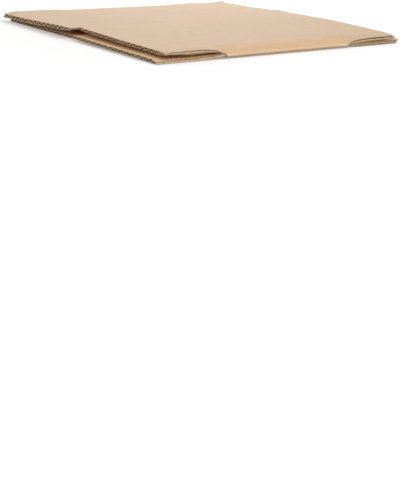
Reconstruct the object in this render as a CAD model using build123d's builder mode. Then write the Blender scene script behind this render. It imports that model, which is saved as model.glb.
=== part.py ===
from build123d import *
import os
from math import atan, cos, degrees, hypot, pi, sin

# A cube-shaped shipping box of single-wall corrugated board, glued into a tube
# and folded flat. Two walls of two panels lie on each other between two folds,
# with a row of flaps at each end. The flutes run along X, from flap to flap,
# the folds lie at the two Y sides, and Z is up from the face that it lies on.

# Blank
panel_width = 103.5  # crease to crease, alike on the four panels
body_height = 105.0  # flap score to flap score
long_flap = 51.5  # meets its partner over the middle of the box
flap_trim = 6.0  # what every other flap is shorter by
slot_width = 4.0  # between neighbouring flaps
edge_setback = 2.2  # side edge of a flap, back from the outside of the fold

# Board
board = 2.8
liner = 0.4
medium = 0.3  # the fluted paper between the liners
flute_pitch = 6.5
flute_foot = 0.44  # half the width of one opening, as a share of the pitch
flute_facets = 7

# Folding and gluing
wall_gap = 0.4  # between the two walls at the folds
tab_width = 30.0
tab_root = 4.0  # strip of its own panel that the tab is bent up from
tab_end_cut = 2.0  # shorter than the panel at its root, at each end
tab_taper = 8.0  # and so much more at its free edge
tab_clearance = 0.3  # under the upper wall
glue_gap = 1.5  # between the two panels that the tab joins
bow_power = 6  # the higher, the further out the bowed wall stays level

# Pressed lines
score_width = 3.0
score_depth = 0.25
crease_width = 2.4
crease_depth = 0.2

# Heights and lengths that follow
upper_base = board + wall_gap
folded = upper_base + board
fold_radius = folded / 2
flat_half = panel_width - fold_radius
flute_half = flat_half - flute_foot * flute_pitch
bow = board + tab_clearance - wall_gap
score_x = body_height / 2
end_x = score_x + long_flap
slot_x = score_x + long_flap / 2
trim_x = end_x - flap_trim / 2
root_x = score_x - tab_end_cut
split = board + wall_gap / 2  # level between the two walls
above = 3 * (folded + bow)  # clear of everything


def arch(y):
    """Height that the upper wall is bowed up by, where it rides over the tab."""
    across = min(abs(y) / flat_half, 1)
    return bow * (1 - across**bow_power) ** 2


def arch_tilt(y):
    """Slope of the bowed wall, in degrees."""
    across = abs(y) / flat_half
    fall = 2 * bow * (1 - across**bow_power) * bow_power * across ** (bow_power - 1)
    return degrees(atan(fall / flat_half)) * (-1 if y > 0 else 1)


def bowed_points(height):
    """Points along the bowed wall, closer together towards the folds."""
    steps = 16
    stations = [flat_half * sin(pi * (k / steps - 0.5)) for k in range(steps + 1)]
    return [(y, height + arch(y)) for y in stations]


def opening(side):
    """Outline between the fluted paper and the liner that it stands on."""
    reach = flute_foot * flute_pitch
    swing = (board - 2 * liner - medium) / 2
    points = [(-reach, 0)]
    for k in range(1, flute_facets):
        y = reach * (2 * k / flute_facets - 1)
        phase = 2 * pi * y / flute_pitch
        slope = swing * 2 * pi / flute_pitch * sin(phase)
        height = swing * (1 + cos(phase)) + medium / 2 * (1 - hypot(1, slope))
        points.append((y, side * height))
    return points + [(reach, 0)]


def places(low, high, shift, height, bowed):
    """Where the openings stand: whole pitches from the middle, between two edges."""
    count = int(2 * panel_width / flute_pitch)
    rows = [(k + shift) * flute_pitch for k in range(-count, count + 1)]
    return [
        Location(
            (y, height + (arch(y) if bowed else 0), 0),
            (0, 0, arch_tilt(y) if bowed else 0),
        )
        for y in rows
        if low <= y <= high
    ]


def flutes(low, high, base, bowed=False):
    """Every opening of one layer of board, under and over the fluted paper."""
    with BuildSketch() as openings:
        with Locations(*places(low, high, 0, base + liner, bowed)):
            Polygon(*opening(1), align=None)
        with Locations(*places(low, high, 0.5, base + board - liner, bowed)):
            Polygon(*opening(-1), align=None)
    return openings.sketch


with BuildPart() as offcuts:
    for end in (-1, 1):
        # Slots between the flaps, at the middle and at both folds
        with Locations((end * slot_x, 0)):
            Box(long_flap, slot_width, above)
        with Locations((end * slot_x, -panel_width), (end * slot_x, panel_width)):
            Box(long_flap, 2 * edge_setback, above)

        # Ends of the shorter flaps: above at -Y, below at +Y
        with Locations((end * trim_x, -panel_width / 2, split)):
            Box(flap_trim, panel_width, above, align=(Align.CENTER, Align.CENTER, Align.MIN))
        with Locations((end * trim_x, panel_width / 2, split)):
            Box(flap_trim, panel_width, above, align=(Align.CENTER, Align.CENTER, Align.MAX))

        # Flap scores: a shallow band across the bowed wall and across the flat one
        with BuildSketch(Plane.YZ.offset(end * score_x - score_width / 2)):
            with BuildLine():
                floor = Spline(*bowed_points(folded - score_depth))
                Polyline(floor @ 1, (flat_half, above), (-flat_half, above), floor @ 0)
            make_face()
            Rectangle(2 * flat_half, 2 * score_depth)
        extrude(amount=score_width)

    # Crease along the middle of the upper wall, and the gap below that the tab bridges
    with Locations((0, 0, folded + bow)):
        Box(body_height, crease_width, 2 * crease_depth)
    with Locations((0, 0, board / 2)):
        Box(body_height, glue_gap, board)

with BuildPart() as tab:
    # Glued inside, on the lower wall, from the panel at +Y over its neighbour
    with BuildSketch(Plane.XY.offset(board)):
        with BuildLine():
            Polyline(
                (-root_x, tab_root), (root_x, tab_root), (root_x, 0),
                (root_x - tab_taper, -tab_width), (tab_taper - root_x, -tab_width), (-root_x, 0),
                close=True,
            )
        make_face()
    extrude(amount=board)
    with BuildSketch(Plane.YZ.offset(-root_x)):
        add(flutes(-tab_width + flute_pitch / 2, 0, board))
    extrude(amount=2 * root_x, mode=Mode.SUBTRACT)

with BuildPart() as flattened_box:
    # Section across the flutes: one loop of board, folded flat at both sides
    with BuildSketch(Plane.YZ.offset(-end_x)):
        with BuildLine():
            Spline(*bowed_points(folded))
            ThreePointArc((flat_half, folded), (panel_width, fold_radius), (flat_half, 0))
            Line((flat_half, 0), (-flat_half, 0))
            ThreePointArc((-flat_half, 0), (-panel_width, fold_radius), (-flat_half, folded))
        make_face()
        with BuildLine():
            inside = Spline(*bowed_points(upper_base))
            Polyline(inside @ 1, (flat_half, board), (-flat_half, board), inside @ 0)
        make_face(mode=Mode.SUBTRACT)
        add(flutes(-flute_half, flute_half, 0), mode=Mode.SUBTRACT)
        add(flutes(-flute_half, flute_half, upper_base, bowed=True), mode=Mode.SUBTRACT)
    extrude(amount=2 * end_x)
    add(offcuts.part, mode=Mode.SUBTRACT)
    add(tab.part)

flattened_box.part.label = "flattened_box"

os.makedirs("parts", exist_ok=True)
export_step(flattened_box.part, "parts/flattened_box.step")
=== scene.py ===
import math
import random

import bmesh
import bpy
import numpy as np
from mathutils import Matrix, Vector, noise


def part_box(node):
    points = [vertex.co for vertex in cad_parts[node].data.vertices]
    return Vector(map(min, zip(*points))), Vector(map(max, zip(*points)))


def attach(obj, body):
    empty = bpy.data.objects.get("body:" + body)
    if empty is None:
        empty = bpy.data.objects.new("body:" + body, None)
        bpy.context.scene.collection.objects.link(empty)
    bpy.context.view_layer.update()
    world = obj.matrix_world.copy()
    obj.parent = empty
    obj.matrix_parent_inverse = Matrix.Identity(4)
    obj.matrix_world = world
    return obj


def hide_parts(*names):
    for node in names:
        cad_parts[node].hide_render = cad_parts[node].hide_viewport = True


# A cube-shaped shipping box of corrugated board, glued and folded flat. The
# frame's solid is replaced by its real papers: an outer liner and an inner liner
# that run round the folded tube, the fluted paper between them, and the glue tab.
# All lengths below are millimetres, in the frame's own axes: the flutes run along
# X, the folds lie at the two Y sides, and Z is up.

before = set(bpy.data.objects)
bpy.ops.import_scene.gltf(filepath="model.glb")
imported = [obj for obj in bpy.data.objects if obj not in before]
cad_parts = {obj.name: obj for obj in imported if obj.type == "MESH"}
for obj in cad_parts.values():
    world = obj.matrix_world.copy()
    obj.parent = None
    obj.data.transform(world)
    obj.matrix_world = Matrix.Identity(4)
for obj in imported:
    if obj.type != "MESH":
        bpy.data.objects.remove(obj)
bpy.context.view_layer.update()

MM = 0.001
NODE = "flattened_box"
rng = random.Random(7)

# Sizes of the folded box: ends of the longer flaps, outside of the folds, highest place
END, FOLD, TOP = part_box(NODE)[1] / MM
SCORE = 52.5  # flap scores
FLAT = 100.5  # where the folds begin
FLAP_SIDE = 101.3  # side edges of the flaps
SLOT = 2.0  # half the slot between neighbouring flaps, at its mouth
GLUE_GAP = 0.75  # half the gap below that the tab bridges
TIP_SLACK = 0.5  # height of the folds' underside over what the box lies on

# Board
BOARD = 2.8
LINER = 0.4
MEDIUM = 0.3
PITCH = 6.5
SWING = (BOARD - 2 * LINER - MEDIUM) / 2  # of the fluted paper, to each side

# The walls, and the ends along X. A side is -1 at -Y and 1 at +Y
UPPER, LOWER = 1, -1
NEAR, FAR = -1, 1

SLOT_END = {UPPER: 0.5, LOWER: 0.95}  # half the slot at the score

# The reach of each flap from the middle: (wall, end) to the reach at -Y and at +Y
REACH = {
    (UPPER, NEAR): (97.9, END - 0.1),
    (UPPER, FAR): (99.0, END - 0.3),
    (LOWER, NEAR): (END - 0.1, 99.4),
    (LOWER, FAR): (END - 0.1, 98.2),
}

# How much is worn off the corners of the flaps, and off those that differ from the others
USUAL_WEAR = 0.9
CORNER_WEAR = {(UPPER, FAR, -1): 0.0}

# How deep the cut ends are ragged, and over what length that changes: the board, and each paper
BOARD_RAG = (0.25, 5.0)
PAPER_RAG = (0.14, 1.4)


def curve(*points):
    """A smooth line through a few chosen points, as a function."""
    at, values = (np.array(row, float) for row in zip(*points))
    slopes = np.gradient(values, at)

    def value(v):
        v = np.clip(v, at[0], at[-1])
        k = np.clip(np.searchsorted(at, v) - 1, 0, len(at) - 2)
        span = at[k + 1] - at[k]
        t = (v - at[k]) / span
        return (
            values[k] * (1 + 2 * t) * (1 - t) ** 2
            + span * slopes[k] * t * (1 - t) ** 2
            + values[k + 1] * t * t * (3 - 2 * t)
            + span * slopes[k + 1] * t * t * (t - 1)
        )

    return value


def ramp(v, start, stop):
    """0 before start, 1 after stop, smooth between, either way round."""
    t = np.clip((v - start) / (stop - start), 0, 1)
    return t * t * (3 - 2 * t)


def bell(distance, height, width):
    """A smooth hump, by the distance from its middle."""
    return height * np.exp(-((distance / width) ** 2))


def ripple(a, b, seed, step):
    """Smooth noise from -1 to 1 over two arrays of lengths, with the given step."""
    a, b = np.broadcast_arrays(a, b)
    flat = [
        noise.noise(Vector((p / step + seed, q / step - seed, seed * 1.7)))
        for p, q in zip(a.ravel(), b.ravel())
    ]
    return np.array(flat).reshape(a.shape)


# Heights of the upper wall's outside: over the body, and at the ends of its flaps
BODY_TOP = curve(
    (-100.5, 5.6), (-98, 6.2), (-95, 6.7), (-85, 7.3), (-50, 8.1), (-20, 8.6), (0, 8.7),
    (20, 8.6), (50, 8.1), (85, 7.2), (95, 6.8), (98, 6.6), (100.5, 6.3),
)
END_TOP = {
    (NEAR, -1): curve((-101.3, 5.5), (-94, 6.3), (-85, 6.8), (-50, 7.3), (-25, 7.9), (-2, 8.4)),
    (NEAR, 1): curve(
        (2, 8.0), (12, 8.05), (29, 7.5), (45, 6.95), (59, 6.55), (80, 6.1), (93, 5.8), (101.3, 5.7),
    ),
    (FAR, -1): curve(
        (-101.3, 6.2), (-96, 6.8), (-85, 7.3), (-70, 8.0), (-50, 8.7), (-25, 8.9), (-2, 8.9),
    ),
    (FAR, 1): curve(
        (2, 8.1), (12, 7.9), (20, 8.0), (28, 8.4), (36, 7.6), (48, 7.2), (64, 6.75), (73, 6.7),
        (81, 6.5), (88, 6.0), (95, 5.4), (101.3, 5.55),
    ),
}
# Heights of the lower wall's outside at the ends of its flaps: its body lies flat
END_BOTTOM = {
    (NEAR, -1): curve((-101.3, 0.15), (-84, 0.7), (-61, 0.9), (-37, 1.1), (-9, 1.5), (-2, 1.6)),
    (NEAR, 1): curve((2, 0.25), (23, 0.12), (41, 0.08), (101.3, 0.05)),
    (FAR, -1): curve((-101.3, 0.1), (-60, 0.2), (-2, 0.6)),
    (FAR, 1): curve((2, 0.3), (101.3, 0.0)),
}
# Share of the thickness that is crushed out of the side edges
SIDE_CRUSH = {
    (UPPER, NEAR, -1): curve(
        (0, 0.6), (4, 0.42), (12, 0.3), (19, 0.12), (27, 0.1), (35, 0.24), (42, 0.28), (46, 0.45),
    ),
    (UPPER, NEAR, 1): curve((0, 0.2), (51.5, 0.1)),
    (UPPER, FAR, -1): curve((0, 0.3), (10, 0.2), (51.5, 0.17)),
    (UPPER, FAR, 1): curve((0, 0.25), (51.5, 0.2)),
    (LOWER, NEAR, -1): curve((0, 0.05), (4, 0.1), (7, 0.3), (10, 0.32), (30, 0.3), (51.5, 0.3)),
    (LOWER, NEAR, 1): curve((0, 0.3), (51.5, 0.25)),
    (LOWER, FAR, -1): curve((0, 0.3), (10, 0.2), (51.5, 0.17)),
    (LOWER, FAR, 1): curve((0, 0.25), (51.5, 0.2)),
}
# How far the side edge of a flap is bent up, by its distance from the score
EDGE_LIFT = {
    (UPPER, NEAR, -1): curve(
        (0, -1.7), (1.5, -1.0), (5, -0.1), (9.5, 0.75), (14, 1.15), (20, 1.4), (27, 1.4), (35, 1.2),
        (42, 1.1), (45.4, 0.5),
    ),
    (UPPER, NEAR, 1): curve((0, 0.1), (5, 0.5), (15, 0.8), (30, 1.0), (44, 1.0), (51.5, 0.0)),
    (UPPER, FAR, -1): curve(
        (0, -2.4), (3, -2.2), (6, -1.6), (12, -0.65), (19, -0.35), (33, -0.25), (41, -0.4), (47, 0.1),
        (51.5, 0.3),
    ),
    (UPPER, FAR, 1): curve(
        (0, 0.6), (4, 0.4), (9, 0.4), (15, 0.85), (22, 0.7), (35, 0.65), (44, 1.1), (51.5, 1.2),
    ),
    (LOWER, NEAR, -1): curve((0, 0.5), (2, 0.45), (5, 0.35), (10, 0.1), (15, 0.0), (51.5, 0.15)),
    (LOWER, NEAR, 1): curve((0, 1.2), (5, 0.6), (12, 0.2), (51.5, 0.1)),
    (LOWER, FAR, -1): curve((0, 0.6), (5, 0.15), (12, -0.2), (25, -0.15), (51.5, 0.0)),
    (LOWER, FAR, 1): curve((0, 1.0), (5, 0.5), (12, 0.2), (51.5, 0.1)),
}
# Where the fluted paper is crushed to at the side edges: its depth and half its thickness
PULP = {
    (UPPER, NEAR, -1): (1.5, 0.5),
    (UPPER, NEAR, 1): (1.4, 0.38),
    (UPPER, FAR, -1): (1.85, 0.35),
    (UPPER, FAR, 1): (1.3, 0.38),
    (LOWER, NEAR, -1): (1.1, 0.8),
    (LOWER, NEAR, 1): (1.5, 0.38),
    (LOWER, FAR, -1): (1.35, 0.32),
    (LOWER, FAR, 1): (1.4, 0.38),
}


# From the middle across a wall, from none to all of it: the flap's sides bent outward and inward,
# the slack of the lower wall beside the folds, and the crushed sides
BENT_OUT = (78, 101)
BENT_IN = (91, FLAT)
SLACK = (90, FLAT)
CRUSHED_SIDE = (95, 101)

# The share of the flaps' bend that a fold's end takes on, and of the fold's curve that a flap does,
# each with the length over which it fades
PINCH = 0.75
PINCH_LENGTH = 12
ROLLED = 0.85
ROLLED_LENGTH = 9

# Pressed lines, as their depth and half their width
SCORE_DENT = (0.14, 1.1)
CREASE_DENT = (0.12, 0.9)
SCORE_CRUSH = (0.10, 1.6)
SLOT_CRUSH = 0.14

LOW_START = 0.4  # how much lower the longer upper flaps start than their neighbours
WARP = 0.09  # of the upper wall, up and down
WARP_STEP = 46.0
WARP_LEVELS = (8.9, 8.6)  # it fades out at the highest places
WASHBOARD = 0.02  # half the depth to which the flutes show through the liner


def by_quarter(table, wall, x, y):
    """Values of a table of functions keyed by wall, end and side, each of the distance from the score."""
    out = np.abs(x) - SCORE
    total = np.zeros(np.broadcast(x, y).shape)
    for end in (NEAR, FAR):
        for side in (-1, 1):
            here = (np.sign(x) == end) & (np.sign(y) == side)
            total = np.where(here, table[wall, end, side](out), total)
    return total


def skin(wall, x, y):
    """Height of the outside of a wall."""
    body = BODY_TOP(y) if wall == UPPER else TIP_SLACK * ramp(np.abs(y), *SLACK)
    ends = END_TOP if wall == UPPER else END_BOTTOM
    share = np.clip((np.abs(x) - SCORE) / (END - SCORE), 0, 1)
    tip = np.zeros(np.broadcast(x, y).shape)
    for (end, side), height in ends.items():
        tip = np.where((np.sign(x) == end) & (np.sign(y) == side), height(y), tip)
    z = body + (tip - body) * share
    lift = by_quarter(EDGE_LIFT, wall, x, y) * (np.abs(x) > SCORE)
    bent_in = ramp(np.abs(y), *BENT_IN)
    z = z + lift * np.where(lift * wall > 0, ramp(np.abs(y), *BENT_OUT), bent_in)
    # The last millimetres of each fold are pinched by the score that crosses it
    pinch = PINCH * ramp(np.abs(x), SCORE - PINCH_LENGTH, SCORE) * (np.abs(x) <= SCORE) * bent_in
    z = z + pinch * by_quarter(EDGE_LIFT, wall, np.sign(x) * SCORE, y)
    z = z - wall * bell(np.abs(x) - SCORE, *SCORE_DENT)
    if wall == UPPER:
        # The longer flaps start lower than their neighbours, straight from the score
        beside_slot = ramp(y, 30, 2) * (y > 0)
        z = z - LOW_START * ramp(share, 0, 0.05) * ramp(share, 1, 0.5) * beside_slot
        z = z - bell(y, *CREASE_DENT) * (np.abs(x) < SCORE)
        z = z + WARP * ripple(x, y, 17.0, WARP_STEP) * ramp(z, *WARP_LEVELS)
    # The flutes show through the liner
    return z + wall * WASHBOARD * (np.cos(2 * math.pi * y / PITCH) - 1) * ramp(np.abs(y), 99, 97)


def rolled(x, y, z, other):
    """Height of a wall's paper where the side of a flap runs on into the end of the fold."""
    past = np.clip((np.abs(y) - FLAT) / (FOLD - FLAT), 0, 1)
    near_fold = ramp(np.abs(x), SCORE + ROLLED_LENGTH, SCORE)
    share = np.where(np.abs(x) > SCORE, ROLLED * past * near_fold, 0)
    return z + ((z + other) / 2 - z) * share


def squeeze(wall, x, y, room):
    """Share of the thickness that is left: pressed at slots, scores and edges, and where room is short."""
    flap = (np.abs(x) > SCORE).astype(float)
    uneven = 1 + 0.45 * ripple(x, 30.0 * np.sign(y) + 9 * wall, 21.0, 6.0)
    pressed = by_quarter(SIDE_CRUSH, wall, x, y) * uneven * ramp(np.abs(y), *CRUSHED_SIDE) * flap
    pressed = pressed + SLOT_CRUSH * ramp(np.abs(y), 7, 2) * flap
    pressed = pressed + bell(np.abs(x) - SCORE, *SCORE_CRUSH)
    dents = 0.04 + 0.09 * ripple(y, 40.0 * np.sign(x) + 9 * wall, 33.0, 8.0)
    pressed = pressed + dents * ramp(np.abs(x), END - 16, END - 6) * flap
    if wall == UPPER:
        # At the near end the shorter flap is thin, and the longer one swells at its free corner
        pressed = pressed + 0.2 * ramp(-x, 80, 98) * (y < 0)
        pressed = pressed - 0.35 * ramp(-x, 84, 104) * ramp(y, 45, 92)
        pressed = pressed + 0.36 * ramp(-x, 88, 97) * ramp(y, 11, 3) * (y > 0)
    else:
        pressed = pressed + 0.16 * ramp(-x, 70, 98)
    # By the score of one flap, the lower wall fills the end of the fold and the upper one thins out
    filled = ramp(np.abs(x), SCORE + 8, SCORE + 3) * ramp(-y, *CRUSHED_SIDE) * (x < -SCORE)
    return np.minimum(1 - pressed, (0.48 - 0.3 * wall * filled) * room / BOARD)


def level_in(wall, x, y, depth):
    """Height of a point in a flat wall, a depth below its outside."""
    room = skin(UPPER, x, y) - skin(LOWER, x, y)
    return skin(wall, x, y) - wall * depth * squeeze(wall, x, y, room)


FOLD_TURNS = 14  # steps round a fold, from one wall to the other


def stations(per_pitch):
    """Round the folded tube: rows of wall, y and the angle round a fold, 90 above to -90 below."""
    step = PITCH / per_pitch
    marks = [k * step for k in range(int(FLAT / step) + 1)]
    marks = [y for y in marks if min(abs(y - SLOT), abs(y - GLUE_GAP)) > 0.2 and y < FLAT - 1.6]
    marks += [GLUE_GAP, SLOT, FLAT - 1.3, FLAT - 0.7, FLAT - 0.3, FLAT]
    across = sorted(set(marks + [-y for y in marks]), reverse=True)
    turns = [180 * k / FOLD_TURNS for k in range(1, FOLD_TURNS)]
    upper = [(UPPER, y, 90.0) for y in across]
    right = [(0, -FLAT, 90 - turn) for turn in turns]
    lower = [(LOWER, y, -90.0) for y in reversed(across)]
    left = [(0, FLAT, turn - 90) for turn in turns]
    return np.array(upper + right + lower + left, float)


def lengthwise(body_steps, flap_steps):
    """Along X: rows of (end, share). End 0 is the body, where the share is x / SCORE."""
    steps = [0.012, 0.03, 0.06] + list(np.linspace(0.09, 0.96, flap_steps)) + [0.98, 0.992, 1]
    by_score = [0.9, 0.94, 0.965, 0.985, 1]
    body = [-s for s in reversed(by_score)] + list(np.linspace(-0.8, 0.8, body_steps)) + by_score
    near = [(NEAR, s) for s in reversed(steps)]
    far = [(FAR, s) for s in steps]
    return np.array(near + [(0, s) for s in body] + far, float)


def reach(wall, end, y, recess, seed):
    """How far a flap's paper reaches from the middle: cut a little ragged, worn at its corners."""
    minus, plus = REACH[wall, end]
    rag, step = BOARD_RAG
    shared = rag * np.abs(ripple(y, 0.0 * y, 3.1 * wall + 7.7 * end, step))
    rag, step = PAPER_RAG
    own = recess + rag * np.abs(ripple(y, 0.0 * y, seed + 5.0 * wall + 11.0 * end, step))
    wear = [CORNER_WEAR.get((wall, end, side), USUAL_WEAR) for side in (-1, 1)]
    corner = np.where(y < 0, *wear) * ramp(np.abs(y), 98.5, 101) ** 2
    return np.where(y < 0, minus, plus) - shared - own - corner


def beside_slots(wall, x, y):
    """Y of a point of the body: its lines close in on the slots' ends near the scores."""
    clear = 1.5 * PITCH
    upper = np.interp(np.abs(y), (0, SLOT, clear), (0, SLOT_END[UPPER], clear))
    lower = np.interp(np.abs(y), (0, GLUE_GAP, SLOT, clear), (0, GLUE_GAP, SLOT_END[LOWER], clear))
    closed = np.where(np.abs(y) < clear, np.where(wall == LOWER, lower, upper), np.abs(y))
    return y + (np.sign(y) * closed - y) * ramp(np.abs(x), SCORE - 8, SCORE)


def flap_lines(x, share, tube_wall, y0, recess, side_recess, seed):
    """Y of the points of a flap: its slot narrows to the score, and its sides are cut a little ragged."""
    side = np.sign(y0)
    ragged = 0.35 * np.abs(ripple(x, 20.0 * side + 5 * tube_wall, seed + 3.0, 1.7)) + side_recess
    outer = FLAP_SIDE + 1.5 * ramp(share, 0.11, 0) - ragged * ramp(share, 0, 0.03)
    y = y0 + (side * outer - y0) * ramp(np.abs(y0), FLAT - 1.2, FLAT)
    past_score = ramp(share, 0, 0.1)
    slot_end = np.where(tube_wall == UPPER, SLOT_END[UPPER], SLOT_END[LOWER])
    uneven = 0.12 * ripple(x, y0, seed + 8.0, 2.0) * past_score
    slot = slot_end + (SLOT - slot_end) * share + uneven
    at_slot = np.abs(np.abs(y0) - SLOT) < 1e-6
    return np.where(at_slot, side * (slot + recess * past_score), y)


def place(rows, around, depth, recess, side_recess, seed):
    """Points of a paper at a depth below the outside, for each row along X and station round."""
    points = np.zeros((len(rows), len(around), 3))
    wall, y0 = around[:, 0], around[:, 1]
    angle = np.radians(around[:, 2])
    tube_wall = np.where(wall != 0, wall, np.where(angle > 0, UPPER, LOWER))
    for end in (NEAR, 0, FAR):
        pick = rows[:, 0] == end
        share = rows[pick, 1][:, None]
        if end == 0:
            points[pick, :, 0] = share * SCORE
            points[pick, :, 1] = beside_slots(wall, share * SCORE, y0)
            continue
        tips = np.where(
            tube_wall == UPPER,
            reach(UPPER, end, y0, recess, seed),
            reach(LOWER, end, y0, recess, seed),
        )
        x = end * (SCORE + share * (tips - SCORE))
        points[pick, :, 0] = x
        points[pick, :, 1] = flap_lines(x, share, tube_wall, y0, recess, side_recess, seed)
    x, y = points[:, :, 0], points[:, :, 1]
    sunk = depth(x, y, wall)
    top, bottom = skin(UPPER, x, y), skin(LOWER, x, y)
    room = top - bottom
    left = np.where(tube_wall == UPPER, squeeze(UPPER, x, y, room), squeeze(LOWER, x, y, room))
    inward = sunk * left
    # Papers nest round the fold, each on its own smaller curve, to a blunt tip that is tucked under
    middle, half = (top + bottom) / 2, (top - bottom) / 2
    lift = np.maximum(half - inward, 0.12 + 0.02 * (BOARD - sunk))
    bulge = np.maximum(FOLD - FLAT - inward, 0.12)
    around_y = np.sign(y0) * (FLAT + bulge * np.cos(angle) ** np.where(angle > 0, 2.1, 2.6))
    around_z = middle + lift * np.sin(angle) - 0.12 * bulge * np.cos(angle) ** 2
    upper_z = rolled(x, y, top - inward, bottom)
    lower_z = rolled(x, y, bottom + inward, top)
    flat_z = np.where(wall == UPPER, upper_z, lower_z)
    points[:, :, 1] = np.where(wall == 0, around_y, y)
    # Nothing goes below what the box lies on
    points[:, :, 2] = np.maximum(np.where(wall == 0, around_z, flat_z), 0)
    return points


def kept(rows, around):
    """Which cells of the grid are board: no folds beside the flaps, no slots and no glue gap."""
    following = np.roll(around, -1, axis=0)
    in_fold = (around[:, 0] == 0) | (following[:, 0] == 0)
    mid_y = (around[:, 1] + following[:, 1]) / 2
    in_slot = np.abs(mid_y) < SLOT
    both_low = (around[:, 0] == LOWER) & (following[:, 0] == LOWER)
    in_gap = (np.abs(mid_y) < GLUE_GAP) & both_low
    body = (rows[:-1, 0] == 0) & (rows[1:, 0] == 0)
    keep = np.ones((len(rows) - 1, len(around)), bool)
    keep[~body] &= ~in_fold & ~in_slot
    keep[body] &= ~in_gap
    return keep


def solid_paper(name, outside, inside, keep, materials):
    """A closed mesh between two grids of points that wrap round in their second index."""
    rows, cols = outside.shape[:2]
    index = np.arange(rows * cols).reshape(rows, cols)
    shift = rows * cols
    right = np.roll(index, -1, axis=1)
    corners = np.stack([index[:-1], index[1:], right[1:], right[:-1]], axis=-1)
    cells = corners[keep]
    faces = [tuple(c) for c in cells] + [tuple(reversed(c + shift)) for c in cells]
    cut_from = len(faces)
    gone = np.pad(~keep, ((1, 1), (0, 0)), constant_values=True)
    borders = [
        (gone[:-2], (0, 3)), (gone[2:], (1, 2)),
        (np.roll(~keep, 1, axis=1), (0, 1)), (np.roll(~keep, -1, axis=1), (3, 2)),
    ]
    for border, (a, b) in borders:
        for c in corners[keep & border]:
            faces.append((c[a], c[b], c[b] + shift, c[a] + shift))
    used = sorted({v for f in faces for v in f})
    renumber = {v: k for k, v in enumerate(used)}
    spots = np.concatenate([outside.reshape(-1, 3), inside.reshape(-1, 3)])[used] * MM
    mesh = bpy.data.meshes.new(name)
    mesh.from_pydata(spots.tolist(), [], [[renumber[v] for v in f] for f in faces])
    for material in materials:
        mesh.materials.append(material)
    is_cut = np.zeros(len(faces), np.int32)
    is_cut[cut_from:] = 1
    mesh.polygons.foreach_set("material_index", is_cut)
    return finished(name, mesh)


SHARP_FROM = 38  # degrees between two faces from which their edge is a sharp one


def finished(name, mesh):
    """Consistent normals, smooth faces with sharp cut edges, and its place in the frame."""
    work = bmesh.new()
    work.from_mesh(mesh)
    bmesh.ops.recalc_face_normals(work, faces=work.faces)
    work.to_mesh(mesh)
    work.free()
    mesh.shade_smooth()
    mesh.set_sharp_from_angle(angle=math.radians(SHARP_FROM))
    piece = bpy.data.objects.new(name, mesh)
    bpy.context.scene.collection.objects.link(piece)
    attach(piece, "root")
    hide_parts(NODE)
    return piece


def add_mask(piece, name, values):
    """A number for each vertex, which the materials read."""
    layer = piece.data.attributes.new(name, "FLOAT", "POINT")
    layer.data.foreach_set("value", np.asarray(values, np.float32))


def places_of(piece):
    """The vertices of a piece, in millimetres."""
    spots = np.zeros(len(piece.data.vertices) * 3)
    piece.data.vertices.foreach_get("co", spots)
    return spots.reshape(-1, 3) / MM


# Materials

def nodes_of(name, roughness):
    """A new material, its tree of nodes and its shader."""
    material = bpy.data.materials.new(name)
    material.use_nodes = True
    tree = material.node_tree
    shader = tree.nodes["Principled BSDF"]
    shader.inputs["Roughness"].default_value = roughness
    shader.inputs["Specular IOR Level"].default_value = 0.25
    return material, tree, shader


def add_node(tree, kind, **values):
    """A new node, with values for its sockets and settings."""
    node = tree.nodes.new(kind)
    for key, value in values.items():
        if key in node.inputs:
            node.inputs[key].default_value = value
        else:
            setattr(node, key, value)
    return node


def linear(red, green, blue):
    """A colour written as the eye sees it, from 0 to 255, in Blender's linear numbers."""
    def one(v):
        v = v / 255
        return v / 12.92 if v <= 0.04045 else ((v + 0.055) / 1.055) ** 2.4
    return (one(red), one(green), one(blue), 1.0)


SPECK = linear(158, 122, 88)
RUBBED_EDGE = linear(196, 178, 156)
DUST = linear(136, 112, 88)
RAW_EDGE = linear(206, 184, 160)


def textured(tree, scale, stretch=(1, 1, 1), detail=3.0, rough=0.55):
    """Noise in the part's own space. Scale is in features per metre."""
    spot = add_node(tree, "ShaderNodeTexCoord")
    stretched = add_node(tree, "ShaderNodeMapping")
    stretched.inputs["Scale"].default_value = stretch
    pattern = add_node(tree, "ShaderNodeTexNoise", Scale=scale, Detail=detail, Roughness=rough)
    tree.links.new(spot.outputs["Object"], stretched.inputs["Vector"])
    tree.links.new(stretched.outputs["Vector"], pattern.inputs["Vector"])
    return pattern.outputs["Fac"]


def spread(tree, value, low_in, high_in, low_out=0.0, high_out=1.0):
    """A value moved from one range to another."""
    node = add_node(tree, "ShaderNodeMapRange")
    node.inputs["From Min"].default_value = low_in
    node.inputs["From Max"].default_value = high_in
    node.inputs["To Min"].default_value = low_out
    node.inputs["To Max"].default_value = high_out
    tree.links.new(value, node.inputs["Value"])
    return node.outputs["Result"]


def mixed(tree, share, first, second, blend="MIX"):
    """Colours mixed by a share. Each is a colour or a socket."""
    node = add_node(tree, "ShaderNodeMix", data_type="RGBA", blend_type=blend)
    for value, socket in ((share, node.inputs[0]), (first, node.inputs[6]), (second, node.inputs[7])):
        if isinstance(value, bpy.types.NodeSocket):
            tree.links.new(value, socket)
        else:
            socket.default_value = value
    return node.outputs[2]


def mask(tree, name):
    """A number that add_mask gave the vertices."""
    return add_node(tree, "ShaderNodeAttribute", attribute_name=name).outputs["Fac"]


def shaded(colour, share):
    """A colour made lighter or darker."""
    return tuple(min(1, c * share) for c in colour[:3]) + (1.0,)


def times(tree, first, second):
    """Two values multiplied."""
    node = add_node(tree, "ShaderNodeMath", operation="MULTIPLY")
    tree.links.new(first, node.inputs[0])
    tree.links.new(second, node.inputs[1])
    return node.outputs[0]


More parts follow.
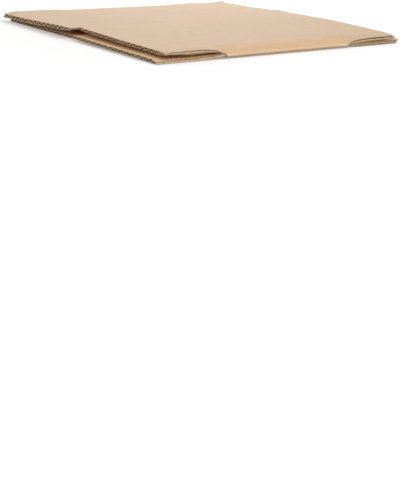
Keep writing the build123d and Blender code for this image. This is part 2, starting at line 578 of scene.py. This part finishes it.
def flute_lines(tree):
    """The faint washboard of the flutes, as they show through a liner: 0 to 1 across each pitch."""
    spot = add_node(tree, "ShaderNodeTexCoord")
    split = add_node(tree, "ShaderNodeSeparateXYZ")
    turn = add_node(tree, "ShaderNodeMath", operation="MULTIPLY")
    turn.inputs[1].default_value = 2 * math.pi / (PITCH * MM)
    wave = add_node(tree, "ShaderNodeMath", operation="COSINE")
    tree.links.new(spot.outputs["Object"], split.inputs["Vector"])
    tree.links.new(split.outputs["Y"], turn.inputs[0])
    tree.links.new(turn.outputs[0], wave.inputs[0])
    return spread(tree, wave.outputs[0], -1, 1)


def bumped(tree, shader, heights):
    """Bump from (socket, strength, distance) layers, one on the other."""
    last = None
    for socket, strength, distance in heights:
        node = add_node(tree, "ShaderNodeBump", Strength=strength, Distance=distance)
        tree.links.new(socket, node.inputs["Height"])
        if last:
            tree.links.new(last, node.inputs["Normal"])
        last = node.outputs["Normal"]
    tree.links.new(last, shader.inputs["Normal"])


def liner_material(name, base, pressed, stretched, washboard):
    """Brown liner paper: mottled pulp, fibres along X, specks, tints where it is folded, and a painted
    fold highlight.
    """
    material, tree, shader = nodes_of(name, 0.6)
    shader.inputs["Specular IOR Level"].default_value = 0.6
    cloud = textured(tree, 14, detail=3)
    pulp = textured(tree, 420, (0.35, 1, 1), detail=5, rough=0.7)
    fibre = textured(tree, 1500, (0.12, 1, 1), detail=3, rough=0.6)
    speck = textured(tree, 900, (0.4, 1, 1), detail=2)
    light = shaded(base, 1.05)
    dark = shaded(base, 0.84)
    worn = spread(tree, textured(tree, 60, detail=4), 0.25, 0.75, 0.82, 1.0)
    colour = mixed(tree, spread(tree, cloud, 0.3, 0.7, 0.0, 0.3), base, dark)
    colour = mixed(tree, times(tree, mask(tree, "pressed"), worn), colour, pressed)
    # Paler along the folds' outermost line: partly stretched paper, partly a painted highlight
    colour = mixed(tree, times(tree, mask(tree, "stretched"), worn), colour, stretched)
    colour = mixed(tree, spread(tree, pulp, 0.42, 0.72, 0.0, 0.14), colour, dark, "MULTIPLY")
    colour = mixed(tree, spread(tree, fibre, 0.55, 0.8, 0.0, 0.3), colour, light)
    colour = mixed(tree, spread(tree, speck, 0.70, 0.78, 0.0, 0.18), colour, SPECK)
    lines = spread(tree, flute_lines(tree), 0, 1, 0.0, washboard)
    colour = mixed(tree, lines, colour, dark, "MULTIPLY")
    edge = spread(tree, mask(tree, "edge"), 0, 1, 0.0, 0.55)
    colour = mixed(tree, edge, colour, RUBBED_EDGE)
    tree.links.new(colour, shader.inputs["Base Color"])
    tree.links.new(spread(tree, pulp, 0, 1, 0.52, 0.68), shader.inputs["Roughness"])
    bumped(tree, shader, [
        (flute_lines(tree), 0.2, 0.00004),
        (pulp, 0.35, 0.00005),
        (fibre, 0.25, 0.00002),
    ])
    return material


def cut_material(name, base, dark, torn=None):
    """Raw cut edge of paper: fibrous and a little dirty, and paler where it is freshly torn."""
    material, tree, shader = nodes_of(name, 0.95)
    strands = textured(tree, 2600, detail=3, rough=0.7)
    dirt = textured(tree, 160, detail=4)
    colour = mixed(tree, spread(tree, strands, 0.35, 0.65), base, dark)
    colour = mixed(tree, spread(tree, dirt, 0.5, 0.75, 0.0, 0.5), colour, DUST)
    if torn:
        colour = mixed(tree, mask(tree, "torn"), colour, torn)
    tree.links.new(colour, shader.inputs["Base Color"])
    bumped(tree, shader, [(strands, 0.6, 0.00008)])
    return material


def medium_material(name, base, dark):
    """Fluting paper: greyer and coarser than the liners; as used here, darker also as painted shade inside
    the flutes.
    """
    material, tree, shader = nodes_of(name, 0.92)
    cloud = textured(tree, 60, detail=3)
    pulp = textured(tree, 700, (0.3, 1, 1), detail=4, rough=0.7)
    colour = mixed(tree, spread(tree, cloud, 0.3, 0.7), base, dark)
    colour = mixed(tree, spread(tree, pulp, 0.4, 0.7, 0.0, 0.4), colour, dark)
    edge = spread(tree, mask(tree, "edge"), 0.2, 1, 0.0, 0.7)
    colour = mixed(tree, edge, colour, RAW_EDGE)
    tree.links.new(colour, shader.inputs["Base Color"])
    bumped(tree, shader, [(pulp, 0.5, 0.00008)])
    return material


# The outer liner's third, palest colour is for the folds' outermost line: partly stretched paper, partly a
# painted highlight
OUTER = liner_material(
    "outer_liner_paper", linear(210, 180, 149), linear(218, 181, 139), linear(238, 208, 172), 0.04
)
INNER = liner_material(
    "inner_liner_paper", linear(226, 190, 150), linear(212, 172, 130), linear(212, 172, 130), 0.08
)
# Fluting colours darker than the liners: partly the greyer pulp of fluting paper, partly painted shade in
# the holes between the flutes
FLUTING_WITH_SHADE = medium_material("fluting_paper_with_shade", linear(140, 108, 79), linear(100, 74, 52))
CUT = cut_material("cut_edge_paper", linear(207, 178, 144), linear(159, 125, 92))
CUT_FLUTING = cut_material("cut_edge_fluting", linear(242, 215, 181), linear(196, 164, 130))
FRAYED = cut_material("frayed_paper", linear(198, 169, 137), linear(136, 109, 84), linear(232, 212, 186))


# Papers of the folded tube

# Where the liners are tinted, from none to all of it: by a fold, across and along X, and by a score
CREASED = (86, 97)
CREASED_ALONG = (SCORE + 15, SCORE - 2)
SCORE_TINT = (0.12, 1.6)

# The outermost line of the folds, where the paper is stretched and painted paler as a highlight: its
# height, tint and sides
NOSE = 2.6
NOSE_HIGHLIGHT = (1.0, 0.6)
NOSE_SIDE = (101.5, 103)


def tube_paper(name, rows, around, depths, materials, recess, side_recess, seed):
    """One paper of the board, between two depths, each a function of x, y and the wall."""
    outside, inside = (place(rows, around, depth, recess, side_recess, seed) for depth in depths)
    piece = solid_paper(name, outside, inside, kept(rows, around), materials)
    x, y, z = places_of(piece).T
    crease = ramp(np.abs(y), *CREASED) * ramp(np.abs(x), *CREASED_ALONG)
    score = bell(np.abs(x) - SCORE, *SCORE_TINT)
    add_mask(piece, "pressed", np.clip(crease + score, 0, 1))
    # Painted highlight along the folds' outermost line, on the stretched paper there
    nose_highlight = bell(z - NOSE, *NOSE_HIGHLIGHT) * ramp(np.abs(y), *NOSE_SIDE)
    add_mask(piece, "stretched", nose_highlight * (np.abs(x) <= SCORE + 0.01))
    end_edge = 0.15 * ramp(np.abs(x), END - 1.6, END - 0.4)
    side_edge = ramp(np.abs(y), FLAP_SIDE - 1.5, FLAP_SIDE - 0.3) * (np.abs(x) > SCORE)
    add_mask(piece, "edge", np.clip(end_edge + side_edge, 0, 1))


def at_depth(value):
    """The same depth everywhere, as a function."""
    return lambda x, y, wall: np.full(np.broadcast(x, y).shape, value)


# Where the wave of the flutes starts, in radians: by wall, at -Y and at +Y
FLUTE_START = {UPPER: (2.1, 0.2), LOWER: (0.5, 2.0)}

# How far the flutes wander and how much their shape varies: how much, the seed, over what length
DRIFT = ((0.5, 11.0, 23.0), (0.25, 5.0, 7.0))
UNEVEN = (0.35, 14.0, 11.0)

EDGE_MEDIUM = 0.62  # thickness of the fluted paper where the cutter has frayed it
FRAYED_END = (END - 8, END - 6)
PULP_SIDE = (FLAP_SIDE - 2.8, FLAP_SIDE - 0.8)  # where it goes over into crushed pulp
FOLD_PULP = (BOARD / 2, 0.8)  # depth of the pulp in the folds, and half its thickness


def fluting(face):
    """Depth of a face of the fluted paper, -1 its outer and 1 its inner one."""
    def depth(x, y, wall):
        drift = sum(far * ripple(y, 0 * y, seed, step) for far, seed, step in DRIFT)
        starts = (np.where(y < 0, *FLUTE_START[w]) for w in (LOWER, UPPER))
        phase = 2 * math.pi * (y + drift) / PITCH + np.where(wall == LOWER, *starts)
        share, seed, step = UNEVEN
        phase = phase + share * ripple(y, 0 * y, seed, step) * np.sin(phase)
        slope = SWING * 2 * math.pi / PITCH * np.sin(phase)
        frayed = ramp(np.abs(x), *FRAYED_END)
        half = (MEDIUM + (EDGE_MEDIUM - MEDIUM) * frayed) / 2 * np.hypot(1, slope)
        middle = BOARD / 2 + SWING * np.cos(phase)
        # It is crushed solid in the folds and at the side edges of the flaps
        beside = ramp(np.abs(y), *PULP_SIDE) * (np.abs(x) > SCORE)
        pulp = np.maximum(beside, np.where(wall == 0, 1.0, 0.0))
        pulp_middle, pulp_half = FOLD_PULP
        for (w, end, side), (at, thick) in PULP.items():
            here = (wall == w) & (np.sign(x) == end) & (np.sign(y) == side)
            pulp_middle = np.where(here, at, pulp_middle)
            pulp_half = np.where(here, thick, pulp_half)
        middle = middle + (pulp_middle + 0.15 * ripple(x, y, 27.0, 3.0) - middle) * pulp
        half = half + (pulp_half - half) * pulp
        return middle + face * half
    return depth


OUTER_DEPTHS = (at_depth(0.0), at_depth(LINER))
INNER_DEPTHS = (at_depth(BOARD - LINER), at_depth(BOARD))
FLUTED_DEPTHS = (fluting(-1), fluting(1))
FINE = 12  # points of the fluted paper across each flute

rows = lengthwise(11, 34)
around = stations(4)
tube_paper(
    "outer_liner", rows, around, OUTER_DEPTHS, (OUTER, CUT),
    recess=0.0, side_recess=0.0, seed=1.0
)
tube_paper(
    "inner_liner", rows, around, INNER_DEPTHS, (INNER, CUT),
    recess=0.05, side_recess=0.1, seed=2.0
)
tube_paper(
    "fluted_paper", lengthwise(5, 9), stations(FINE), FLUTED_DEPTHS, (FLUTING_WITH_SHADE, CUT_FLUTING),
    recess=0.1, side_recess=0.35, seed=3.0
)


# Glue tab

TAB_WIDTH = 30.0
TAB_ROOT = 4.0  # where it leaves its own panel, past the glue gap
TAB_HALF = 50.5  # half its length at the root
TAB_TAPER = 8.0  # how much shorter each half is at its far edge
TAB_BOARD = 2.6  # its thickness, pressed a little as it was glued
TAB_ROOT_LEFT = 0.3  # share of the thickness that is left at the root
TAB_EDGE_PRESSED = 0.15  # share that is pressed out at its far edge


def tab_paper(name, depths, materials):
    """A paper of the tab that is glued on the lower wall, under the upper one."""
    step = PITCH / FINE
    y = np.array([TAB_ROOT - k * step for k in range(int((TAB_ROOT + TAB_WIDTH) / step))] + [-TAB_WIDTH])
    share = np.linspace(-1, 1, 25)[:, None]
    half = TAB_HALF - TAB_TAPER * np.clip(-y / TAB_WIDTH, 0, 1)
    x = share * half
    y = y + 0 * share
    root = TAB_ROOT_LEFT + (1 - TAB_ROOT_LEFT) * ramp(y, TAB_ROOT, 0.5)
    edge = 1 - TAB_EDGE_PRESSED * ramp(y, 3 - TAB_WIDTH, -TAB_WIDTH)
    faces = []
    for depth in depths:
        z = BOARD + (BOARD - depth(x, y, LOWER)) * (TAB_BOARD / BOARD * root * edge)
        faces.append(np.stack([x, y, z], axis=-1))
    keep = np.ones((x.shape[0] - 1, x.shape[1]), bool)
    keep[:, -1] = False
    solid_paper(name, *faces, keep, materials)


tab_paper("tab_top_liner", OUTER_DEPTHS, (INNER, CUT))
tab_paper("tab_fluting", FLUTED_DEPTHS, (FLUTING_WITH_SHADE, CUT_FLUTING))
tab_paper("tab_bottom_liner", INNER_DEPTHS, (OUTER, CUT))


# Crushed and torn paper at the edges

def strand_faces(start, rings):
    """Faces of a closed strand of four-cornered rings, from its first vertex."""
    faces = []
    for k in range(rings - 1):
        for j in range(4):
            a = start + 4 * k + j
            b = start + 4 * k + (j + 1) % 4
            faces.append((a, b, b + 4, a + 4))
    last = start + 4 * (rings - 1)
    faces.append((start + 3, start + 2, start + 1, start))
    faces.append((last, last + 1, last + 2, last + 3))
    return faces


HIGHEST = 1.02 * TOP  # no strand stands out above this


class Strands:
    """Gathers strands of paper into one mesh."""

    def __init__(self):
        self.spots = []
        self.faces = []
        self.torn = []

    def add(self, rings, torn=0.0):
        """One strand, and how freshly it is torn."""
        self.faces += strand_faces(len(self.spots), len(rings))
        self.spots += [tuple(corner) for ring in rings for corner in ring]
        self.torn += [torn] * (4 * len(rings))

    def piece(self, name, material):
        """The piece of all the strands so far."""
        mesh = bpy.data.meshes.new(name)
        spots = np.array(self.spots)
        spots[:, 2] = np.clip(spots[:, 2], 0, HIGHEST)
        mesh.from_pydata((spots * MM).tolist(), [], self.faces)
        mesh.materials.append(material)
        add_mask(finished(name, mesh), "torn", self.torn)


# Depths of the crushed strands: at the sides, at those that differ from the others, at the slots
USUAL_DEPTHS = (0.85, 1.95)
STRAND_DEPTHS = {
    (UPPER, FAR, -1): (1.45, 2.2),
    (LOWER, FAR, -1): (0.9, 1.9),
    (LOWER, NEAR, -1): (0.5, 1.2),
}
SLOT_DEPTHS = (1.0, 2.0)

# How pale the strands are, from 0 to 1, where they are freshly torn: at the sides and at the slots
PALE = {
    (LOWER, NEAR, -1): 0.85, (UPPER, NEAR, -1): 0.15, (UPPER, FAR, -1): 0.3, (LOWER, FAR, -1): 0.3,
}
SLOT_PALE = {(UPPER, NEAR, -1): 0.8}

QUARTERS = [(wall, end, side) for wall in (UPPER, LOWER) for end in (NEAR, FAR) for side in (-1, 1)]
BACK_FROM_TIP = 0.7  # how far strands and tears stand back from a flap's cut end


def tip_of(wall, end, side):
    """Where the cut end of a flap stands, before it is ragged."""
    return REACH[wall, end][0 if side < 0 else 1]


def crushed_strip(wall, end, side, at_slot, depth):
    """Rings of one strip of crushed fluting, along the outer side of a flap or along its slot."""
    x = end * np.linspace(SCORE + 0.5, tip_of(wall, end, side) - BACK_FROM_TIP, 76)
    seed = rng.uniform(0, 90)
    rag = np.abs(ripple(x, 0 * x, seed, 1.6))
    sway = ripple(x, 0 * x, seed + 5, 5.0) + 0.5 * ripple(x, 0 * x, seed + 9, 1.8)
    if at_slot:
        share = (np.abs(x) - SCORE) / (END - SCORE)
        edge = SLOT_END[wall] + (SLOT - SLOT_END[wall]) * share + 0.25 + 0.4 * rag
        back = edge + 1.5
    else:
        edge = FLAP_SIDE - 0.4 - 1.5 * rag
        back = edge - 1.3
    middle = depth + 0.22 * sway
    thick = 0.13 + 0.05 * ripple(x, 0 * x, seed + 2, 3.0)
    corners = []
    for y, offset in ((edge, -1), (edge, 1), (back, 1), (back, -1)):
        z = level_in(wall, x, side * y, middle + offset * thick)
        corners.append(np.stack([x, side * y, z], axis=-1))
    return np.stack(corners, axis=1)


def crushed_edges():
    """Strips of the fluted paper, crushed between the liners along the sides of each flap."""
    strands = Strands()
    for quarter in QUARTERS:
        for depth in STRAND_DEPTHS.get(quarter, USUAL_DEPTHS):
            strands.add(crushed_strip(*quarter, False, depth), PALE.get(quarter, 0.0))
        for depth in SLOT_DEPTHS:
            strands.add(crushed_strip(*quarter, True, depth), SLOT_PALE.get(quarter, 0.0))
    strands.piece("crushed_edges", FRAYED)


SHRED_RINGS = 8
SHRED_HALF = 0.09  # half the thickness of a torn bit
SMALL_TEARS = 16  # at each cut end


def shred(strands, spot, heading, rise, length, width, curl, torn=0.0, twist=0.0):
    """A torn bit of liner: it leaves its spot at a heading and rise, in degrees, and curls."""
    spot = np.array(spot, float)
    heading = math.radians(heading)
    across = np.array([-math.sin(heading), math.cos(heading), rng.uniform(-0.4, 0.4) + twist])
    across /= np.linalg.norm(across)
    rings = []
    for k in range(SHRED_RINGS):
        t = k / (SHRED_RINGS - 1)
        tilt = math.radians(rise + curl * t)
        ahead = np.array([
            math.cos(tilt) * math.cos(heading), math.cos(tilt) * math.sin(heading), math.sin(tilt)
        ])
        if k:
            spot = spot + ahead * length / (SHRED_RINGS - 1)
        up = np.cross(ahead, across)
        half = width / 2 * (1 - 0.85 * t) * rng.uniform(0.85, 1.1)
        thick = SHRED_HALF * (1 - 0.5 * t)
        rings.append([
            spot + across * half + up * thick, spot - across * half + up * thick,
            spot - across * half - up * thick, spot + across * half - up * thick,
        ])
    strands.add(np.array(rings), torn)


def small_tears(strands, wall, end, side):
    """Small tears along the cut end of a flap, at chance places and depths."""
    x = end * (tip_of(wall, end, side) - BACK_FROM_TIP)
    for _ in range(SMALL_TEARS):
        y = side * rng.uniform(6, 97)
        depth = rng.choice((0.3, 0.7, 1.4, 2.1, 2.5))
        z = float(level_in(wall, np.array([x]), np.array([y]), depth)[0])
        heading = (0 if end > 0 else 180) + rng.uniform(-50, 50)
        rise = rng.uniform(-25, 25)
        length = rng.uniform(0.7, 1.2)
        width = rng.uniform(0.5, 1.1)
        curl = rng.uniform(-60, 60)
        pale = rng.choice((0.0, 0.3, 0.7))
        shred(strands, (x, y, z), heading, rise, length, width, curl, pale, twist=0.6)


def torn_bits():
    """Bits of liner torn at the corners and edges, each as shred takes it, and the small tears."""
    strands = Strands()
    bits = [
        # Free corner of the longer upper flap
        ((-102.8, 100.2, 5.3), 118, 20, 2.6, 1.8, 50, 0.35, 1.2),
        ((-103.0, 99.6, 5.9), 114, 5, 2.4, 1.2, 40, 0.3, 0.9),
        ((-103.2, 99.4, 4.8), 145, 0, 2.2, 2.0, -60, 0.25, -1.4),
        ((-102.2, 100.6, 4.3), 108, 5, 2.4, 1.8, 70, 0.4, 1.6),
        ((-103.2, 99.8, 3.6), 130, -20, 2.2, 1.9, 60, 0.1, -1.2),
        ((-101.2, 100.8, 4.9), 100, 25, 1.8, 1.6, 40, 0.3, 1.5),
        ((-103.3, 97.5, 3.9), 165, -10, 1.6, 1.8, 60, 0.1, 1.0),
        ((-102.6, 100.4, 2.9), 112, -10, 2.0, 1.6, 40, 0.2, 1.6),
        # Far corner beside it
        ((100.9, 100.5, 5.5), 84, 58, 2.2, 5.2, 15, 0.6),
        ((102.0, 100.6, 5.6), 70, 60, 2.2, 2.2, 10, 0.7),
        ((103.4, 98.4, 5.3), 20, 20, 1.4, 1.4, 60, 0.0),
        # Side edge of the lower flap
        ((-94.6, -100.9, 2.1), 250, 40, 1.3, 1.0, 50, 0.9),
        ((-92.4, -100.8, 2.1), 290, 50, 1.5, 0.9, 40, 0.9),
        ((-90.9, -100.9, 2.0), 260, 45, 1.2, 0.8, 60, 0.9),
        ((-88.2, -100.9, 2.0), 275, 30, 1.1, 1.2, 40, 0.8),
        ((-84.0, -101.0, 1.9), 268, 10, 0.9, 1.6, 30, 0.7),
        ((-97.5, -101.0, 1.8), 262, -10, 0.9, 1.8, -30, 0.7),
        # Corners at the slot
        ((-103.3, -2.6, 3.9), 170, 10, 1.4, 1.0, 50, 0.3),
        ((-103.4, -3.4, 3.4), 190, -20, 1.2, 0.9, -40, 0.2),
        ((-103.6, 2.7, 7.4), 185, -60, 1.5, 1.0, -20, 0.8),
        ((-97.6, -2.5, 7.2), 170, 5, 1.0, 0.9, -50, 0.0),
        # Far corners of the flaps at the other end
        ((98.0, -101.0, 5.7), 350, -8, 3.0, 1.5, -20, 0.4, 1.6),
        ((98.2, -100.2, 5.3), 5, -12, 2.8, 1.5, -20, 0.2, -1.5),
        ((98.6, -100.7, 4.9), 350, -5, 2.6, 1.5, -30, 0.5, 1.5),
        ((99.0, -100.0, 4.6), 5, -15, 2.6, 1.4, 40, 0.2, -1.2),
        ((98.7, -100.9, 4.0), 345, -5, 2.5, 1.2, -20, 0.6, 1.4),
        ((98.8, -100.5, 3.4), 0, -20, 2.0, 1.1, 30, 0.3, 1.2),
        ((98.4, -101.1, 5.2), 352, -12, 3.8, 2.2, -15, 0.45, 1.5),
        ((98.4, -100.4, 4.3), 2, -8, 3.9, 2.0, -15, 0.25, -1.3),
        ((98.4, -101.2, 3.6), 348, -4, 3.3, 1.8, -10, 0.6, 1.4),
        ((101.4, -101.2, 2.6), 340, 30, 2.0, 1.8, -40, 0.4, 1.4),
        ((96.5, -101.0, 4.7), 300, 10, 1.2, 1.2, 40, 0.5, 0.8),
        ((103.0, -100.6, 2.5), 350, 25, 2.6, 1.4, -20, 0.6, 1.3),
        ((103.2, -101.0, 2.2), 0, 15, 2.4, 1.3, 10, 0.3, 1.2),
        ((103.0, -100.2, 2.1), 5, 5, 2.2, 1.4, -30, 0.3, -1.3),
        ((102.8, -100.9, 1.4), 345, 5, 2.3, 1.2, 20, 0.6, 1.3),
        ((102.9, -100.6, 0.8), 0, -5, 1.8, 1.1, 20, 0.2, 1.2),
        ((99.5, -101.0, 2.3), 310, 15, 1.2, 1.2, 30, 0.5, 0.8),
        ((103.4, 26.0, 8.0), 15, 10, 1.2, 1.6, 20, 0.0),
        ((103.4, 13.0, 7.6), 350, 0, 1.0, 1.3, 30, 0.0),
    ]
    for spot, *shape in bits:
        shred(strands, spot, *shape)
    for quarter in QUARTERS:
        small_tears(strands, *quarter)
    strands.piece("torn_paper", FRAYED)


crushed_edges()
torn_bits()


# Floor, light and camera

def ray_is_seen(tree):
    """1 for rays that show the background: to the camera, in gloss and through glass."""
    path = add_node(tree, "ShaderNodeLightPath")
    either = add_node(tree, "ShaderNodeMath", operation="MAXIMUM")
    tree.links.new(path.outputs["Is Camera Ray"], either.inputs[0])
    tree.links.new(path.outputs["Is Glossy Ray"], either.inputs[1])
    any_of = add_node(tree, "ShaderNodeMath", operation="MAXIMUM")
    tree.links.new(either.outputs[0], any_of.inputs[0])
    tree.links.new(path.outputs["Is Transmission Ray"], any_of.inputs[1])
    return any_of.outputs[0]


FLOOR_HALF = 6.0  # metres
FLOOR_COLOUR = (0.82, 0.82, 0.82, 1)
# The floor turns white between two distances from the middle, in metres, from its least glow
WHITE_FROM, WHITE_AT = 0.14, 0.42
LEAST_GLOW = 0.27


def white_floor():
    """A pale floor that shows the shadow near the part and is white further off."""
    half = FLOOR_HALF
    mesh = bpy.data.meshes.new("floor")
    corners = [(-half, -half, 0), (half, -half, 0), (half, half, 0), (-half, half, 0)]
    mesh.from_pydata(corners, [], [(0, 1, 2, 3)])
    floor = bpy.data.objects.new("floor", mesh)
    bpy.context.scene.collection.objects.link(floor)
    material = bpy.data.materials.new("floor_white")
    material.use_nodes = True
    tree = material.node_tree
    tree.nodes.remove(tree.nodes["Principled BSDF"])
    matt = add_node(tree, "ShaderNodeBsdfDiffuse", Color=FLOOR_COLOUR)
    glow = add_node(tree, "ShaderNodeEmission")
    both = add_node(tree, "ShaderNodeAddShader")
    spot = add_node(tree, "ShaderNodeTexCoord")
    span = add_node(tree, "ShaderNodeVectorMath", operation="LENGTH")
    tree.links.new(spot.outputs["Object"], span.inputs[0])
    white = spread(tree, span.outputs["Value"], WHITE_FROM, WHITE_AT, LEAST_GLOW, 1.0)
    tree.links.new(times(tree, white, ray_is_seen(tree)), glow.inputs["Strength"])
    tree.links.new(matt.outputs[0], both.inputs[0])
    tree.links.new(glow.outputs[0], both.inputs[1])
    tree.links.new(both.outputs[0], tree.nodes["Material Output"].inputs["Surface"])
    mesh.materials.append(material)


# Soft lamps: name, place and aim in metres, width, height, watts
LAMPS = (
    ("key", (0.72, -1.9, 1.65), (0, 0, 0), 1.2, 0.9, 29),
    ("front_fill", (-1.15, -0.2, 0.55), (0, 0, 0), 0.7, 0.4, 2.2),
    ("rim", (0.4, 0.65, 0.17), (0.05, 0.05, 0), 0.7, 0.2, 0.55),
    ("far_fill", (0.12, 0.16, 0.24), (0.1, 0.12, 0), 0.2, 0.2, 0.19),
)
WORLD_COLOUR = (1.0, 0.99, 0.98, 1)
WORLD_LEVEL = 0.5


def softbox(name, spot, aim, width, height, watts):
    """A soft lamp that the camera doesn't see."""
    lamp = bpy.data.lights.new(name, "AREA")
    lamp.shape = "RECTANGLE"
    lamp.size, lamp.size_y = width, height
    lamp.energy = watts
    holder = bpy.data.objects.new(name, lamp)
    bpy.context.scene.collection.objects.link(holder)
    holder.visible_camera = False
    holder.location = spot
    holder.rotation_euler = (Vector(aim) - Vector(spot)).to_track_quat("-Z", "Y").to_euler()


def studio():
    """An even world that lights the part and shows as white, and the lamps."""
    world = bpy.data.worlds.new("studio")
    bpy.context.scene.world = world
    world.use_nodes = True
    tree = world.node_tree
    light = tree.nodes["Background"]
    light.inputs["Color"].default_value = WORLD_COLOUR
    light.inputs["Strength"].default_value = WORLD_LEVEL
    seen = add_node(tree, "ShaderNodeBackground", Color=(1, 1, 1, 1), Strength=1.0)
    choose = add_node(tree, "ShaderNodeMixShader")
    tree.links.new(ray_is_seen(tree), choose.inputs[0])
    tree.links.new(light.outputs[0], choose.inputs[1])
    tree.links.new(seen.outputs[0], choose.inputs[2])
    tree.links.new(choose.outputs[0], tree.nodes["World Output"].inputs["Surface"])
    for lamp in LAMPS:
        softbox(*lamp)


# The photograph's view, from a least-squares fit to points picked on it: focal length in its pixels,
# camera turns in degrees, place in millimetres
FRAME_HEIGHT = 500
FOCAL = 947.6
YAW, PITCH_DOWN, ROLL = 52.49, 20.934, -2.236
STAND = (-422.17, -565.03, 99.1)


def camera():
    """The camera, as the photograph was taken."""
    yaw, down, roll = (math.radians(a) for a in (YAW, PITCH_DOWN, ROLL))
    ahead = Vector((math.cos(yaw) * math.cos(down), math.sin(yaw) * math.cos(down), -math.sin(down)))
    right = ahead.cross(Vector((0, 0, 1))).normalized()
    below = ahead.cross(right)
    right, below = (
        math.cos(roll) * right + math.sin(roll) * below,
        math.cos(roll) * below - math.sin(roll) * right,
    )
    data = bpy.data.cameras.new("camera")
    data.sensor_width = 36
    data.lens = FOCAL * data.sensor_width / FRAME_HEIGHT
    holder = bpy.data.objects.new("camera", data)
    bpy.context.scene.collection.objects.link(holder)
    turn = Matrix((right, -below, -ahead)).transposed().to_4x4()
    holder.matrix_world = Matrix.Translation(Vector(STAND) * MM) @ turn
    data.clip_start, data.clip_end = 0.01, 20
    bpy.context.scene.camera = holder


white_floor()
studio()
camera()
bpy.context.scene.view_settings.view_transform = "Standard"
